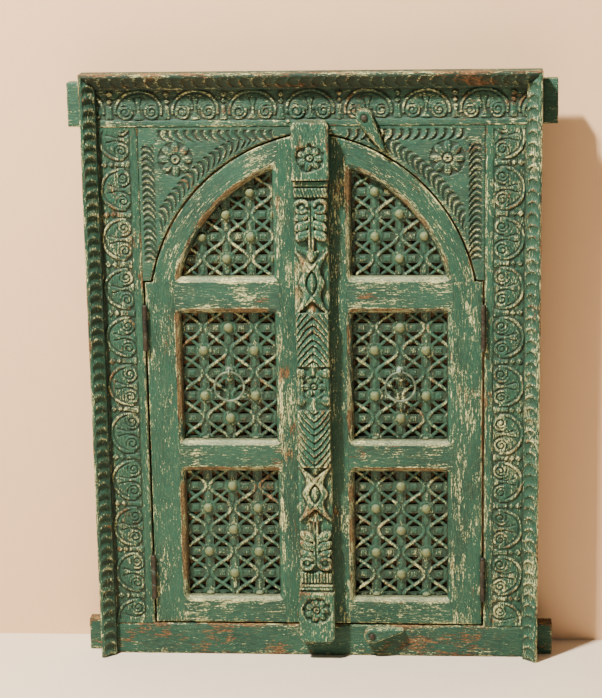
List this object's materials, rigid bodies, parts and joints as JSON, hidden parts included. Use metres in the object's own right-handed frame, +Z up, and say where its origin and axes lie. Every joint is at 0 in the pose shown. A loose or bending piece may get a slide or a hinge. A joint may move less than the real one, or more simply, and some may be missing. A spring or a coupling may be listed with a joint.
{
  "type": "jali wall panel",
  "caption": "Carved and painted wooden window panel: a horned frame with an arch, hinged leaves with pierced panels, a carved meeting bar, ring pulls and turn-buttons.",
  "frame": {"origin": "centre of the lintel's back face, where the panel hangs on its wall", "axes": "+X to the right seen from the room, +Y out of the back into the wall, +Z up"},
  "size_m": [0.718, 0.0675, 0.9],
  "materials": {
    "painted_frame": "worn chalky green paint",
    "painted_moulding": "worn chalky green paint with buff high spots",
    "painted_leaf": "worn chalky green paint with cream streaks",
    "pierced_panel": "worn green paint, dark in the carving",
    "carved_astragal": "worn green paint with buff high spots",
    "turn_button": "worn green paint",
    "old_iron": "dark, partly painted iron",
    "ring_iron": "dull grey-green iron"
  },
  "bodies": {
    "frame": {"lintel": "painted_frame", "sill": "painted_frame", "jamb_left": "painted_frame", "jamb_right": "painted_frame", "spandrel_left": "painted_frame", "spandrel_right": "painted_frame", "moulding_top": "painted_moulding", "moulding_left": "painted_moulding", "moulding_right": "painted_moulding", "hinge_upper_left_frame_half": "old_iron", "hinge_lower_left_frame_half": "old_iron", "hinge_upper_right_frame_half": "old_iron", "hinge_lower_right_frame_half": "old_iron", "top_latch_screw": "old_iron", "bottom_latch_screw": "old_iron"},
    "left_leaf": {"left_hanging_stile": "painted_leaf", "left_meeting_stile": "painted_leaf", "left_arched_head": "painted_leaf", "left_upper_rail": "painted_leaf", "left_lower_rail": "painted_leaf", "left_bottom_rail": "painted_leaf", "left_panel_top": "pierced_panel", "left_panel_middle": "pierced_panel", "left_panel_bottom": "pierced_panel", "left_ring_staple": "ring_iron", "hinge_upper_left_leaf_half": "old_iron", "hinge_lower_left_leaf_half": "old_iron"},
    "right_leaf": {"right_hanging_stile": "painted_leaf", "right_meeting_stile": "painted_leaf", "right_arched_head": "painted_leaf", "right_upper_rail": "painted_leaf", "right_lower_rail": "painted_leaf", "right_bottom_rail": "painted_leaf", "right_panel_top": "pierced_panel", "right_panel_middle": "pierced_panel", "right_panel_bottom": "pierced_panel", "right_ring_staple": "ring_iron", "astragal": "carved_astragal", "hinge_upper_right_leaf_half": "old_iron", "hinge_lower_right_leaf_half": "old_iron"},
    "left_ring_body": {"left_ring": "ring_iron"},
    "right_ring_body": {"right_ring": "ring_iron"},
    "top_latch_body": {"top_latch": "turn_button"},
    "bottom_latch_body": {"bottom_latch": "turn_button"}
  },
  "joints": [
    {"name": "right_leaf_hinge", "type": "hinge", "parent": "frame", "child": "right_leaf", "pos_m": [0.2518, -0.0403, -0.529], "axis": [0, 0, 1], "range_deg": [0, 140]},
    {"name": "left_leaf_hinge", "type": "hinge", "parent": "frame", "child": "left_leaf", "pos_m": [-0.2518, -0.0403, -0.529], "axis": [0, 0, -1], "range_deg": [0, 140]},
    {"name": "left_ring_swing", "type": "hinge", "parent": "left_leaf", "child": "left_ring_body", "pos_m": [-0.12846, -0.0325, -0.40203], "axis": [-1, 0, 0], "range_deg": [0, 100]},
    {"name": "right_ring_swing", "type": "hinge", "parent": "right_leaf", "child": "right_ring_body", "pos_m": [0.12846, -0.0325, -0.40203], "axis": [-1, 0, 0], "range_deg": [0, 100]},
    {"name": "top_latch_pivot", "type": "hinge", "parent": "frame", "child": "top_latch_body", "pos_m": [0.079, -0.039, -0.0185], "axis": [0, 1, 0], "range_deg": [-60, 30]},
    {"name": "bottom_latch_pivot", "type": "hinge", "parent": "frame", "child": "bottom_latch_body", "pos_m": [0.0836, -0.039, -0.8145], "axis": [0, 1, 0], "range_deg": [-81, 15]}
  ],
  "couplings": [
    {"joint": "left_leaf_hinge", "follows": "right_leaf_hinge", "ratio": 1}
  ]
}
